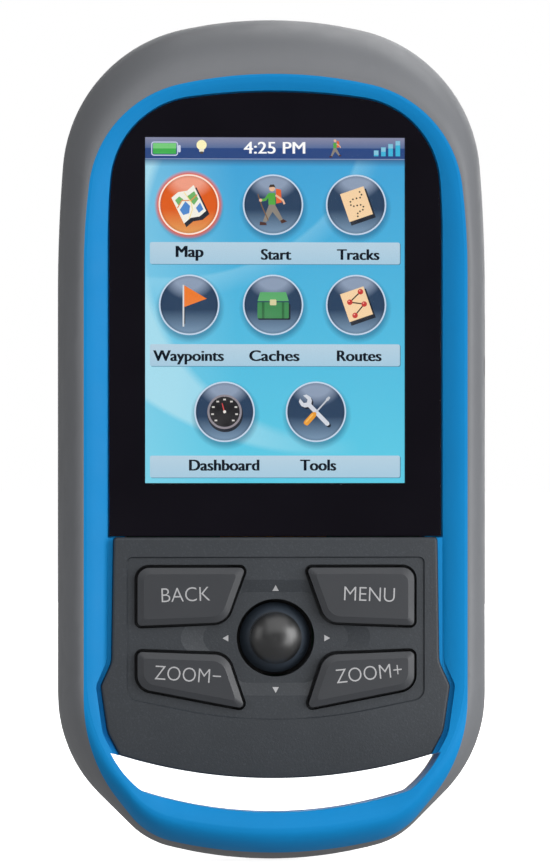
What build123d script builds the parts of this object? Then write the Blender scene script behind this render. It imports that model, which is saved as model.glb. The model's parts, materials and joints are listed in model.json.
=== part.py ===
from build123d import *
import math
import os

# A handheld satellite navigator, standing upright: +X is its right as the user looks at
# the screen, -Y is towards the user, +Z is towards the antenna. The origin is on the
# bottom of the carrying loop, half way across and half way through. Millimetres.

# ---------------------------------------------------------------- driving dimensions
WIDTH = 56.5
HEIGHT = 110.95
DEPTH = 35.6
WALL = 2.2
GAP = 0.4  # visible gap round each key
CLEAR = 2.0  # how far a cut runs past the surface that it opens

FRONT_Y = -DEPTH / 2  # tip of the joystick
REAR_Y = DEPTH / 2  # flat back of the battery door
CREST_Y = FRONT_Y + 1.2  # ridge between the coloured frame and the grey case
WIDEST_Y = -4.0
FRAME_BACK_Y = -9.0  # back face of the coloured frame
LEDGE_Y = -14.1  # ledge in the frame that carries the window and the faceplate

# how far the skin comes in from its widest section, at the crest and at the back
CREST_IN = {"side": 3.1, "top": 8.0, "bottom": 4.6}
BACK_IN = {"side": 11.4, "top": 10.3, "bottom": 24.0}
BACK_POWER = {"side": 2.3, "top": 2.0, "bottom": 1.5}
CREST_STAGES = (1, 0.97, 0.88, 0.7, 0.4)  # where the skin's sections lie, as shares of the way
BACK_STAGES = (0, 0.3, 0.55, 0.75, 0.88, 0.96, 1)

# the case's outline, from its crown round to its toe: the radius of each arc and the heading
# at which it ends, at the widest section and at the crest
CROWN_R = (54.3, 57.0)
CROWN_TURN = 12.7
SHOULDER_END = (85.4, 83.0)
SIDE_R = (208.0, 94.0)
CORNER_R = (18.3, 21.5)
HEEL_TURN = (44.8, 52.0)
HEEL_R = (10.9, 9.4)
TOE_TURN = (14.6, 13.0)
TOE_R = (54.5, 60.0)

# the coloured frame
FRAME_HALF_W = 25.0
FRAME_TOP = 102.95
FRAME_BOTTOM = 1.35
CREST_LAND = {"side": 0.28, "top": 0.25, "bottom": 0.1}  # width of the crest's flat
SLOPE_W = {"side": 2.9, "top": 2.4, "bottom": 2.6}  # of the slope from the crest down to the window
SLOPE_DROP = 1.35
SLOPE_POWER = 1.6

# the display window and the display behind it
WINDOW_HALF_W = 21.65
WINDOW_TOP = 100.65
WINDOW_CROWN = (90, 8.5)  # radius, and the heading where it ends
WINDOW_SHOULDER_END = 85
WINDOW_BOTTOM = 42.8
WINDOW_FRONT_Y = -15.6
WINDOW_POCKET_GAP = 0.2
MASK_FRONT_Y = -14.5
GASKET_FRONT_Y = -14.35
ACTIVE_W = 33.9
ACTIVE_H = 45.1
ACTIVE_Z = 72.2
LCD_HALF_W = 17.9
LCD_BOTTOM = 46.4
LCD_TOP = 95.9
LCD_MIDDLE = (LCD_BOTTOM + LCD_TOP) / 2
LCD_FRONT_Y = -14.0
LCD_BACK_Y = -12.2
BACKLIGHT_BACK_Y = -10.6
GUIDE = (32.4, 45.8)  # width and height of the light guide
FOAM = (30.0, 42.0)
RIBBON_W = 14.0
RIBBON_THICK = 0.2

# the faceplate round the keys
PLATE_TOP = 42.65
PLATE_FRONT_Y = -16.2
PLATE_CORNERS = [  # across, up and radius, from the top down; the last one is cut off by the chin
    (21.1, PLATE_TOP, 0.5),
    (21.35, 26.4, 3.0),
    (22.75, 23.3, 1.1),
    (21.9, 17.3, 4.0),
    (19.9, 13.5, 1.0),
    (19.0, 8.0, 0.1),
]
PLATE_MOAT = 0.65
PLATE_FIT = 0.08  # gap round the faceplate below the moat
MOAT_FLOOR_Y = -15.3
CHIN_ARC_R = 68.0
CHIN_LOW = 11.2  # lowest point of the faceplate
CHIN_START = 20.5
CHIN_FALL = 2.2  # how far the chin leans back, down to CHIN_FOOT
CHIN_FOOT = 8.0
PLATE_EDGE_R = 0.35
ISLAND = [(19.45, 40.15, 0.8), (19.45, 21.6, 1.6), (0, 17.6, 60)]  # the sunken field round the keys
ISLAND_DEPTH = 0.25
ISLAND_STEP_W = 0.18
DISH = [(13.4, 29.6, 2.0), (5.2, 22.0, 2.4)]  # the hollow round the joystick, at its top and its floor
DISH_FLOOR = [(10.2, 29.6, 2.0), (4.6, 23.7, 2.4)]
DISH_DEPTH = 0.55

# the carrying loop
LOOP_FLOOR = 6.95
LOOP_FLOOR_R = 56.0
LOOP_BACK_STEP = 0.35  # the case stops this far above the faceplate's edge
LOOP_BACK_Y = -3.5  # back of the loop's bar
LOOP_FALL = 0.45  # how much lower the bar is at the frame's back than at its front
LOOP_REAR_ROUND = {-5.8: 0.75, -4.4: 1.3, LOOP_BACK_Y: 2.1, LOOP_BACK_Y + 1: 3.2}  # its fall further back
LOOP_HEEL_R = 2.0  # round under the bar's back
# the opening's end, upwards: its middle three points lie on an arc
LOOP_SIDE = [(15.0, 0.5), (17.1, 9.5), (19.7, 11.95), (21.6, 14.9), (25.0, 20.2)]
LOOP_CORNER_R = 1.5
UNDERSIDE = (15.0, 19.0)  # height of the case's underside behind the bar and at the door
UNDERSIDE_ROUND = 3.5

# keys
KEY_TOP_Y = -17.1
KEY_FLANGE_Y = -14.05
KEY_FOOT_Y = -13.5
KEY_FLANGE = 0.55
KEY_BEVEL = 0.8  # width of the bevel round a key's top
KEY_BEVEL_DROP = 0.34

# joystick
STICK_Z = 29.55
STICK_PIVOT_Y = -10.2
STICK_WELL_R = 5.07
CAP_R = 3.37
SKIRT_R = 5.6
SKIRT_THICK = 0.6
SKIRT_TURN = (36.0, 55.0)  # where the skirt's ball starts and ends, in degrees from the tip
CAP_EDGE_Y = -16.35
STEM_R = 1.2
STEM_TOP_Y = -14.4
SOCKET_HALF_W = 4.9
SOCKET_BORE_R = 3.6
SOCKET_FRONT_Y = -11.7
GIMBAL_R = 3.0
GIMBAL_HOLE_R = 1.75
GIMBAL_THICK = 1.5
PIN_R = 0.5
RUNNING = 0.05

# the seal between the frame and the case, and the room inside the frame
SEAL_HALF_W = 22.2
SEAL_TOP = 100.1
SEAL_BOTTOM = 14.7
SEAL_SIZE = 0.8
INSIDE = (19.6, 98.2, 17.0)  # half width, top and bottom
CAVITY_FRONT = (20.9, 98.8, 16.4)
CAVITY_LOW = 17.2

# electronics
BOARD_FRONT_Y = -9.6
BOARD_BACK_Y = -8.6
BOARD = (19.3, 97.4, 17.6)  # half width, top and bottom
CHIPS = [(-6.0, 62.0, 10.0, 10.0), (5.5, 64.5, 8.0, 9.0), (0.5, 50.5, 6.0, 5.0)]  # place and size
CHIP_H = 1.0
SHIELD_X = (-12.5, 11.5)
SHIELD_Z = (46.0, 71.5)
SHIELD_H = 2.0
SHEET = 0.3
BEEPER_R = 4.2
BEEPER_H = 2.2
BACKUP_R = 3.4
BACKUP_H = 1.8
ROUND_PARTS = (11.5, 80.5)  # place of the beeper, on the left, and of the backup cell
SOCKET_X = (15.5, 24.0)
SOCKET_HALF_L = 3.85
SOCKET_H = 3.9
SOCKET_WALL = 0.4
ANTENNA = (15.0, 14.0, 4.0)
ANTENNA_Y = 2.8
ANTENNA_Z = 99.0  # its lower face
CARRIER_HALF_W = 9.5
MEMBRANE_FRONT_Y = -12.95
MEMBRANE_BACK_Y = -12.2

# batteries and their door
CELL_R = 7.1
CELL_LENGTH = 50.5
NUB_R = 2.7
NUB_H = 1.3
NUB_END = 0.5  # from the bay's end wall to a cell, where its nub or a spring is
SPRING_END = 5.1
SPRING_R = 3.2
SPRING_WIRE_R = 0.3
SPRING_PITCH = 1.25
CONTACT_HALF_W = 5.0
CONTACT_THICK = 0.3
CELL_X = 7.5
CELL_Y = 7.35
BAY_HALF_W = 15.9
BAY_WALL = 1.1
BAY_LOW = 26.2
BAY_HIGH = 85.6
BAY_FLOOR_Y = -1.2
DOOR_SEAT_Y = 14.9
DOOR_HALF_W = 17.4
DOOR_LOW = 23.6
DOOR_HIGH = 99.2
DOOR_CORNER = 5.2
DOOR_GAP = 0.12
CAVITY_REAR_Y = 12.9

# latch of the battery door
LATCH_Z = 92.0
LATCH_HEAD_R = 6.0
LATCH_BASE_Y = 15.95
LATCH_TOP_Y = 17.7
LATCH_PIN_Y = 17.0
STUD_R = 1.5
LATCH_POST_R = 4.2
BUSH_R = 2.6
BUSH_FRONT_Y = 8.6
RING_PIN_R = 0.4
RING_R = 5.0
RING_HOLE_R = 3.3

# grip grooves across the lower end of the door
GRIP_ROWS = 5
GRIP_LOW = 32.0
GRIP_PITCH = 3.2
GRIP_LENGTH = 20.0
GRIP_WIDTH = 1.3
GRIP_DEPTH = 0.5

# case screws, USB cover, power key
SCREW_HEAD_R = 1.9
SCREW_HEAD_H = 1.5
SCREW_X = 23.55
SCREW_Z = (32.0, 86.0)
SCREW_SEAT_Y = -5.0
SCREW_R = 0.9
SCREW_TIP_Y = -13.4
WELL_R = 2.1
POST_WALL = 1.1
POST_BACK_Y = 14.0
USB_Z = 65.0
USB_Y = -6.65
USB_HALF_H = 3.9
USB_HALF_L = 7.0
USB_SEAT_X = 26.4
USB_MOUTH = (2.15, 4.4)  # half its width and half its length
SCOOP_R = 5.0  # the thumb's hollow at the cover's front edge
SCOOP_X = 32.55
POWER_ANGLE = 65.0  # direction of the power key, degrees from +X towards +Z
POWER_Y = 1.8
POWER_POINT = (15.4, 107.0)
POWER_L = 6.0
POWER_W = 3.2
POWER_DEEP = 5.6  # from the skin to the back of the key's flange
POWER_FLANGE = 0.9
POWER_PROUD = 0.12


# ---------------------------------------------------------------- drawing helpers
def facing(y):
    """A drawing plane across the depth: sketch x is X, sketch y is Z, extruding runs to the front."""
    return Plane(origin=(0, y, 0), x_dir=(1, 0, 0), z_dir=(0, -1, 0))


def slab(sketch, front, back):
    """A flat sketch made into a solid between two depths."""
    return extrude(facing(back) * sketch, amount=back - front)


def walk(start, heading, steps):
    """Lines and tangent left-hand arcs, one after another. A step is a length or (radius, degrees)."""
    edges, point = [], Vector(*start)
    for step in steps:
        if isinstance(step, tuple):
            radius, turn = step
            left = Vector(0, 1).rotate(Axis.Z, heading)
            centre = point + left * radius
            middle = centre - left.rotate(Axis.Z, turn / 2) * radius
            end = centre - left.rotate(Axis.Z, turn) * radius
            edges.append(ThreePointArc(point, middle, end))
            heading += turn
        else:
            end = point + Vector(1, 0).rotate(Axis.Z, heading) * step
            edges.append(Line(point, end))
        point = end
    return edges


def run_of(radius, start, end):
    """How far an arc that turns from one heading to another goes across and up."""
    a, b = math.radians(start), math.radians(end)
    return radius * (math.sin(b) - math.sin(a)), radius * (math.cos(a) - math.cos(b))


def between(pair, share):
    """A value that share of the way from the first of a pair to the second."""
    return pair[0] + (pair[1] - pair[0]) * share


def outline(half_width, top, bottom, scale=1.0, crest=0.0, crown=None, shoulder_end=None):
    """The case's outline as a face: a shallow crown and toe, round shoulders, cut-off lower
    corners. crest runs from 0 at the widest section to 1 at the front ridge."""
    crown_r, crown_turn = crown or (between(CROWN_R, crest), CROWN_TURN)
    shoulder_end = shoulder_end or between(SHOULDER_END, crest)
    crown_r *= scale
    side_r, corner_r, heel_r, toe_r = (scale * between(r, crest) for r in (SIDE_R, CORNER_R, HEEL_R, TOE_R))
    heel_turn, toe_turn = between(HEEL_TURN, crest), between(TOE_TURN, crest)
    toe = run_of(toe_r, 0, toe_turn)
    heel = run_of(heel_r, toe_turn, heel_turn)
    corner = run_of(corner_r, heel_turn, 90)
    slant = math.radians(heel_turn)
    cut = (half_width - toe[0] - heel[0] - corner[0]) / math.cos(slant)
    crown_run = run_of(crown_r, 0, crown_turn)
    side_run = run_of(side_r, shoulder_end, 90)
    across, _ = run_of(1.0, crown_turn, shoulder_end)
    shoulder_r = (half_width - crown_run[0] - side_run[0]) / across
    shoulder_run = run_of(shoulder_r, crown_turn, shoulder_end)
    rise = toe[1] + heel[1] + cut * math.sin(slant) + corner[1]
    drop = crown_run[1] + shoulder_run[1] + side_run[1]
    straight = top - drop - bottom - rise
    half = walk(
        (0, bottom),
        0,
        [
            (toe_r, toe_turn),
            (heel_r, heel_turn - toe_turn),
            cut,
            (corner_r, 90 - heel_turn),
            straight,
            (side_r, 90 - shoulder_end),
            (shoulder_r, shoulder_end - crown_turn),
            (crown_r, crown_turn),
        ],
    )
    right = Curve() + half
    return make_face(right + mirror(right, Plane.YZ))


def rounding(t, power=2.0):
    """0 at t=0 and 1 at t=1, along a quarter of an ellipse."""
    return 1 - max(0.0, 1 - t**power) ** (1 / power)


def skin_section(y):
    """The outer outline of the whole case at a depth."""
    if y <= WIDEST_Y:
        come_in = rounding((WIDEST_Y - y) / (WIDEST_Y - CREST_Y))
        half_width = WIDTH / 2 - CREST_IN["side"] * come_in
        top = HEIGHT - CREST_IN["top"] * come_in
        bottom = CREST_IN["bottom"] * come_in
        return half_width, top, bottom, 1.0, come_in
    t = (y - WIDEST_Y) / (REAR_Y - WIDEST_Y)
    side, over, under = (BACK_IN[way] * rounding(t, BACK_POWER[way]) for way in ("side", "top", "bottom"))
    half_width, top, bottom = WIDTH / 2 - side, HEIGHT - over, under
    return half_width, top, bottom, half_width / (WIDTH / 2), 0.0


def case_skin():
    """The outer shape of the case, frame and door together, as one solid."""
    front = [between((WIDEST_Y, CREST_Y), share) for share in CREST_STAGES]
    back = [between((WIDEST_Y, REAR_Y), share) for share in BACK_STAGES]
    sections = []
    for y in front + back:
        half_width, top, bottom, scale, crest = skin_section(y)
        sections.append(facing(y) * outline(half_width, top, bottom, scale, crest))
    return loft(sections)


def rounded(points, radii):
    """A closed polygon with its own radius at each corner, as a face."""
    return make_face(FilletPolyline(*points, radius=radii, close=True))


def mirrored(points):
    return [(-x, z) for x, z in points]


def grown(sketch, amount):
    return offset(sketch, amount=amount, kind=Kind.ARC)


def block(x, y, z):
    """A box between two values on each axis."""
    return Pos(sum(x) / 2, sum(y) / 2, sum(z) / 2) * Box(x[1] - x[0], y[1] - y[0], z[1] - z[0])


def rod(radius, centre, y):
    """A round bar along Y at (x, z) between two depths."""
    return Pos(centre[0], sum(y) / 2, centre[1]) * Rot(90, 0, 0) * Cylinder(radius, y[1] - y[0])


def one(shape):
    """The single solid in a shape."""
    solids = shape.solids()
    assert len(solids) == 1, f"expected one solid, found {len(solids)}"
    return solids[0]


# ---------------------------------------------------------------- shared outlines
def loop_opening(step=0.0):
    """The hole of the carrying loop: over the loop's bar and under the faceplate's arc."""
    heel, bend, eye, far, end = LOOP_SIDE
    right = Line(heel, bend) + ThreePointArc(bend, eye, far) + Line(far, end)
    across = Line((-heel[0], heel[1]), heel) + Line(end, (-end[0], end[1]))
    sides = make_face(right + across + mirror(right, Plane.YZ))
    floor = Pos(0, LOOP_FLOOR + LOOP_FLOOR_R) * Circle(LOOP_FLOOR_R)
    ceiling = Pos(0, CHIN_LOW + step + CHIN_ARC_R) * Circle(CHIN_ARC_R)
    hole = (sides & floor) - ceiling
    lower = [v for v in hole.vertices() if v.Y < CHIN_LOW]
    return fillet(lower, LOOP_CORNER_R)


def fallen_opening(y, fall):
    """The opening behind the frame, at a depth where its floor has fallen by this much."""
    return facing(y) * (Pos(0, -fall) * loop_opening(LOOP_BACK_STEP + fall))


def loop_front():
    """The front half of the opening. Its floor falls a little towards the back."""
    return loft([facing(FRONT_Y) * loop_opening(), fallen_opening(FRAME_BACK_Y, LOOP_FALL)])


def underside(y):
    """Height of the case's underside behind the loop."""
    return between(UNDERSIDE, (y - LOOP_BACK_Y) / (DOOR_SEAT_Y - LOOP_BACK_Y))


def loop_back():
    """Everything taken off the case behind the loop: the tapering rear half of the opening and
    all that lies under the case's rising underside."""
    stages = [fallen_opening(FRAME_BACK_Y, LOOP_FALL)]
    stages += [fallen_opening(y, fall) for y, fall in LOOP_REAR_ROUND.items()]
    low, high = UNDERSIDE
    far, keen = REAR_Y + CLEAR, 0.1
    profile = FilletPolyline(
        (-CLEAR, LOOP_BACK_Y),
        (low, LOOP_BACK_Y),
        (high, DOOR_SEAT_Y),
        (high, far),
        (-CLEAR, far),
        radius=[keen, UNDERSIDE_ROUND, keen, keen, keen],
        close=True,
    )
    return loft(stages) + swept_across(make_face(profile), WIDTH + 2 * CLEAR)


def swept_across(profile, width):
    """A profile drawn with its x up the device and its y through it, made into a bar across the device."""
    side = Plane(origin=(-width / 2, 0, 0), x_dir=(0, 0, 1), z_dir=(1, 0, 0))
    return extrude(side * mirror(profile, Plane.XZ), amount=width)


def bar_heel(body):
    """The edge under the back of the loop's bar."""
    behind = [e for e in body.edges() if flat_at(e, LOOP_BACK_Y)]
    return min(behind, key=lambda e: e.center().Z)


def flat_at(edge, y):
    """Whether an edge lies in the plane across the depth y."""
    box = edge.bounding_box()
    return abs(box.min.Y - y) < 0.05 and abs(box.max.Y - y) < 0.05


def plate_outline():
    """The faceplate, with its two ears and the long arc along its chin."""
    right = [(x, z) for x, z, _ in PLATE_CORNERS]
    radii = [radius for _, _, radius in PLATE_CORNERS]
    chin = Pos(0, CHIN_LOW + CHIN_ARC_R) * Circle(CHIN_ARC_R)
    return rounded(right + mirrored(right)[::-1], radii + radii[::-1]) & chin


def window_outline(gap=0.0):
    """The display window: the frame's inner outline, cut off above the faceplate."""
    shape = outline(WINDOW_HALF_W + gap, WINDOW_TOP + gap, 0, 0.86, 1, WINDOW_CROWN, WINDOW_SHOULDER_END)
    low = WINDOW_BOTTOM - gap
    return shape & Pos(0, (low + HEIGHT) / 2) * Rectangle(WIDTH, HEIGHT - low)


KEY_SHAPES = {
    "back": (
        [(-18.0, 38.7), (-18.0, 31.2), (-6.55, 31.65), (-4.0, 38.7)],
        [1.5, 0.5, 2.3, 0.5],
    ),
    "zoom_out": (
        [(-18.0, 27.8), (-18.0, 23.1), (-4.05, 20.4), (-6.4, 27.35)],
        [0.6, 2.0, 0.5, 2.3],
    ),
}


def key_outline(name, inset=0.0):
    """A key's outline, or the same outline moved in all round for the top of its bevel."""
    twin = {"menu": "back", "zoom_in": "zoom_out"}.get(name)
    points, radii = KEY_SHAPES[twin or name]
    if inset:
        points = moved_in(points, inset)
        radii = [max(0.3, radius - inset / 2) for radius in radii]
    return rounded(mirrored(points) if twin else points, radii)


def moved_in(points, amount):
    """The corners of a four-sided outline whose sides all move towards its middle."""
    middle = sum((Vector(*p) for p in points), Vector(0, 0)) / len(points)
    sides = []
    for start, end in zip(points, points[1:] + points[:1]):
        start, end = Vector(*start), Vector(*end)
        inward = (end - start).normalized().rotate(Axis.Z, 90)
        if inward.dot(middle - start) < 0:
            inward = -inward
        sides.append((start + inward * amount, (end - start).normalized()))
    corners = []
    for (a, run_a), (b, run_b) in zip(sides[-1:] + sides[:-1], sides):
        cross = run_a.X * run_b.Y - run_a.Y * run_b.X
        along = ((b - a).X * run_b.Y - (b - a).Y * run_b.X) / cross
        corner = a + run_a * along
        corners.append((corner.X, corner.Y))
    return corners


KEYS = ("back", "menu", "zoom_out", "zoom_in")


# ---------------------------------------------------------------- casings
def parting():
    """Everything in front of the case's ledge and inside this outline belongs to the frame."""
    return slab(outline(FRAME_HALF_W, FRAME_TOP, FRAME_BOTTOM, 1, 1), FRONT_Y - 2, FRAME_BACK_Y)


def frame_slope():
    """The hollow that leaves the frame's front sloping in from the crest to the window."""
    sections = []
    for share in (0, 0.18, 0.42, 0.7, 1):
        side, top, bottom = (CREST_LAND[way] + SLOPE_W[way] * share for way in ("side", "top", "bottom"))
        face = outline(FRAME_HALF_W - side, FRAME_TOP - top, CREST_IN["bottom"] + bottom, 1 - 0.1 * share, 1)
        y = CREST_Y - 0.01 + SLOPE_DROP * share**SLOPE_POWER
        sections.append(facing(y) * face)
    return loft(sections)


def seal_band():
    outer = outline(SEAL_HALF_W, SEAL_TOP, SEAL_BOTTOM, 0.86, 1)
    inner = outline(SEAL_HALF_W - SEAL_SIZE, SEAL_TOP - SEAL_SIZE, SEAL_BOTTOM + SEAL_SIZE, 0.83, 1)
    return outer - inner


def lcd_rectangle(gap=0.0):
    return Pos(0, LCD_MIDDLE) * Rectangle(2 * (LCD_HALF_W + gap), LCD_TOP - LCD_BOTTOM + 2 * gap)


def front_frame(skin):
    body = skin & parting()
    body -= frame_slope()
    body -= slab(window_outline(WINDOW_POCKET_GAP), FRONT_Y, LEDGE_Y)
    body -= slab(grown(plate_outline(), PLATE_MOAT), FRONT_Y, MOAT_FLOOR_Y)
    body -= slab(grown(plate_outline(), PLATE_FIT), FRONT_Y, LEDGE_Y)
    body -= slab(outline(*INSIDE, 0.78, 1), FRONT_Y, FRAME_BACK_Y)
    body -= block((-19.4, 19.4), (LEDGE_Y - CLEAR, FRAME_BACK_Y + CLEAR), (18.6, LCD_BOTTOM))
    body -= slab(lcd_rectangle(0.2), FRONT_Y, FRAME_BACK_Y)
    body -= loop_front()
    body -= slab(seal_band(), FRAME_BACK_Y - SEAL_SIZE, FRAME_BACK_Y)
    for x in (-SCREW_X, SCREW_X):
        for z in SCREW_Z:
            body -= rod(SCREW_R, (x, z), (SCREW_TIP_Y, FRAME_BACK_Y))
    return body


def cavity():
    """The room inside the rear case."""
    sections = []
    for y in (SCREW_SEAT_Y, 1.5, 7.0, 10.5, CAVITY_REAR_Y):
        half_width, top, bottom, scale, _ = skin_section(y)
        floor = max(CAVITY_LOW, bottom + WALL, underside(y) + WALL)
        face = outline(half_width - WALL, top - WALL, floor, 0.9 * scale, 0)
        sections.append(facing(y) * face)
    room = loft(sections)
    return room + slab(outline(*CAVITY_FRONT, 0.82, 1), FRAME_BACK_Y, SCREW_SEAT_Y)


def door_outline(gap=0.0):
    middle = (DOOR_LOW + DOOR_HIGH) / 2
    return Pos(0, middle) * RectangleRounded(
        2 * (DOOR_HALF_W + gap), DOOR_HIGH - DOOR_LOW + 2 * gap, DOOR_CORNER + gap
    )


def bay_outline(inset=0.0):
    middle = (BAY_LOW + BAY_HIGH) / 2
    return Pos(0, middle) * RectangleRounded(
        2 * (BAY_HALF_W - inset), BAY_HIGH - BAY_LOW - 2 * inset, 2.6 - inset
    )


def usb_recess(gap=0.0):
    """The pocket of the USB cover, round at the hinge end, as a solid that runs out of the side."""
    height, end = USB_HALF_H + gap, USB_HALF_L + gap
    plane = Plane(origin=(USB_SEAT_X, USB_Y, USB_Z), x_dir=(0, 1, 0), z_dir=(1, 0, 0))
    return extrude(plane * RectangleRounded(2 * height, 2 * end, 1.2 + gap), amount=6)


def power_plane(offset_out=0.0):
    angle = math.radians(POWER_ANGLE)
    direction = Vector(math.cos(angle), 0, math.sin(angle))
    origin = Vector(POWER_POINT[0], POWER_Y, POWER_POINT[1]) + direction * offset_out
    return Plane(origin=origin, x_dir=(0, 1, 0), z_dir=direction)


def rear_housing(skin):
    body = skin - parting() - loop_back()
    body = fillet(bar_heel(body), LOOP_HEEL_R)
    body -= cavity()
    body -= slab(door_outline(), DOOR_SEAT_Y, REAR_Y + 1)
    body -= slab(bay_outline(), CAVITY_REAR_Y - 1, DOOR_SEAT_Y + 1)
    posts = Part()
    for x in (-SCREW_X, SCREW_X):
        for z in SCREW_Z:
            posts += rod(WELL_R + POST_WALL, (x, z), (SCREW_SEAT_Y - SCREW_HEAD_H, POST_BACK_Y))
    posts += rod(LATCH_POST_R, (0, LATCH_Z), (BUSH_FRONT_Y - 0.6, CAVITY_REAR_Y + 0.5))
    posts += block((24.2, USB_SEAT_X), (FRAME_BACK_Y, USB_Y + 5.2), (USB_Z - 8.2, USB_Z + 8.2))
    body += posts & skin
    for x in (-SCREW_X, SCREW_X):
        for z in SCREW_Z:
            body -= rod(WELL_R, (x, z), (SCREW_SEAT_Y, REAR_Y + CLEAR))
            body -= rod(SCREW_R, (x, z), (FRAME_BACK_Y - CLEAR, SCREW_SEAT_Y + CLEAR))
    body -= rod(BUSH_R, (0, LATCH_Z), (BUSH_FRONT_Y, DOOR_SEAT_Y + CLEAR))
    body -= usb_recess(0.1)
    body -= Pos(SCOOP_X, USB_Y - USB_HALF_H - 0.4, USB_Z) * Sphere(SCOOP_R)
    half, long = USB_MOUTH
    body -= block((20, 28), (USB_Y - half, USB_Y + half), (USB_Z - long, USB_Z + long))
    body -= extrude(power_plane(-5) * SlotOverall(POWER_L + 0.3, POWER_W + 0.3), amount=9)
    body -= extrude(power_plane(-9.2) * Rectangle(POWER_L + 2.2, POWER_W + 1.6), amount=4.6)
    return body


def over_chin():
    """What is taken off the faceplate's front so that its chin curves back towards its foot."""
    start, foot = (CHIN_START, PLATE_FRONT_Y), (CHIN_FOOT, PLATE_FRONT_Y + CHIN_FALL)
    middle = (14.0, PLATE_FRONT_Y + 0.28 * CHIN_FALL)
    level = PLATE_FRONT_Y - CLEAR
    side = Line(start, (CHIN_START, level)) + Line((CHIN_START, level), (CHIN_FOOT, level))
    side += Line((CHIN_FOOT, level), foot) + ThreePointArc(foot, middle, start)
    return swept_across(make_face(side), WIDTH)


def island_outline():
    (x, top, top_r), (_, low, low_r), (_, foot, foot_r) = ISLAND
    points = [(-x, top), (-x, low), (0, foot), (x, low), (x, top)]
    return rounded(points, [top_r, low_r, foot_r, low_r, top_r])


def hexagon(corners):
    """A hexagon about the joystick, from its right-hand corner and the one under it."""
    (x, z, r), (near_x, low, near_r) = corners
    high = 2 * z - low
    points = [(-x, z), (-near_x, high), (near_x, high), (x, z), (near_x, low), (-near_x, low)]
    return rounded(points, [r, near_r, near_r, r, near_r, near_r])


def keypad_faceplate():
    body = slab(plate_outline(), PLATE_FRONT_Y, LEDGE_Y) - over_chin()
    front = [e for e in body.edges() if e.center().Y < LEDGE_Y - 0.2 and e.bounding_box().size.Y < 1.6]
    body = fillet([e for e in front if abs(e.center().Z - CHIN_START) > 0.2], PLATE_EDGE_R)
    island = island_outline()
    floor_y = PLATE_FRONT_Y + ISLAND_DEPTH
    skim = 0.02
    body -= loft([facing(PLATE_FRONT_Y - skim) * island, facing(floor_y) * grown(island, -ISLAND_STEP_W)])
    body -= loft([facing(floor_y - skim) * hexagon(DISH), facing(floor_y + DISH_DEPTH) * hexagon(DISH_FLOOR)])
    for name in KEYS:
        body -= slab(grown(key_outline(name), GAP), FRONT_Y, LEDGE_Y)
    body -= slab(Pos(0, STICK_Z) * Circle(STICK_WELL_R), FRONT_Y, LEDGE_Y)
    return body


# ---------------------------------------------------------------- display
def display_window():
    body = slab(window_outline(), WINDOW_FRONT_Y, MASK_FRONT_Y)
    rim = body.faces().sort_by(Axis.Y)[0].edges()
    return fillet(rim, 0.2)


def window_mask():
    opening = Pos(0, ACTIVE_Z) * Rectangle(ACTIVE_W + 0.2, ACTIVE_H + 0.2)
    return slab(window_outline() - opening, MASK_FRONT_Y, GASKET_FRONT_Y)


def window_gasket():
    hole = grown(lcd_rectangle(), 0.3)
    return slab(window_outline() - hole, GASKET_FRONT_Y, LEDGE_Y)


def lcd_panel():
    return slab(lcd_rectangle(), LCD_FRONT_Y, LCD_BACK_Y)


def guide_outline(gap=0.0):
    width, height = GUIDE
    return Pos(0, LCD_MIDDLE) * Rectangle(width + gap, height + gap)


def lcd_backlight():
    body = slab(lcd_rectangle(), LCD_BACK_Y, BACKLIGHT_BACK_Y)
    body -= slab(guide_outline(0.2), LCD_BACK_Y, BACKLIGHT_BACK_Y - 0.4)
    return body


def lcd_light_guide():
    return slab(guide_outline(), LCD_BACK_Y, BACKLIGHT_BACK_Y - 0.4)


def lcd_foam_pad():
    return slab(Pos(0, LCD_MIDDLE) * Rectangle(*FOAM), BACKLIGHT_BACK_Y, BOARD_FRONT_Y)


def lcd_ribbon():
    """The flat cable that leaves the display's lower edge and turns back to the board."""
    leaves, turns, ends = LCD_BACK_Y - 0.3, LCD_BOTTOM - 1.6, LCD_BOTTOM - 4.4
    profile = Polyline(
        (LCD_BOTTOM, leaves),
        (turns, leaves),
        (turns, BOARD_FRONT_Y),
        (ends, BOARD_FRONT_Y),
        (ends, BOARD_FRONT_Y - RIBBON_THICK),
        (turns - RIBBON_THICK, BOARD_FRONT_Y - RIBBON_THICK),
        (turns - RIBBON_THICK, leaves - RIBBON_THICK),
        (LCD_BOTTOM, leaves - RIBBON_THICK),
        close=True,
    )
    return swept_across(make_face(profile), RIBBON_W)


# ---------------------------------------------------------------- keys
def key(name):
    shape = key_outline(name)
    shoulder_y = KEY_TOP_Y + KEY_BEVEL_DROP
    bevel = loft([facing(shoulder_y) * shape, facing(KEY_TOP_Y) * key_outline(name, KEY_BEVEL)], ruled=True)
    cap = slab(shape, shoulder_y, KEY_FLANGE_Y) + bevel
    return cap + slab(grown(shape, KEY_FLANGE), KEY_FLANGE_Y, KEY_FOOT_Y)


def key_centre(name):
    return key_outline(name).center()


def keypad_membrane():
    sheet = Pos(0, 29.6) * RectangleRounded(38.0, 21.2, 2.0)
    body = slab(sheet, MEMBRANE_FRONT_Y, MEMBRANE_BACK_Y)
    body -= rod(6.4, (0, STICK_Z), (MEMBRANE_FRONT_Y - 1, MEMBRANE_BACK_Y + 1))
    for name in KEYS:
        c = key_centre(name)
        body += rod(1.2, (c.X, c.Y), (MEMBRANE_BACK_Y, MEMBRANE_BACK_Y + 0.7))
    return body


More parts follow.
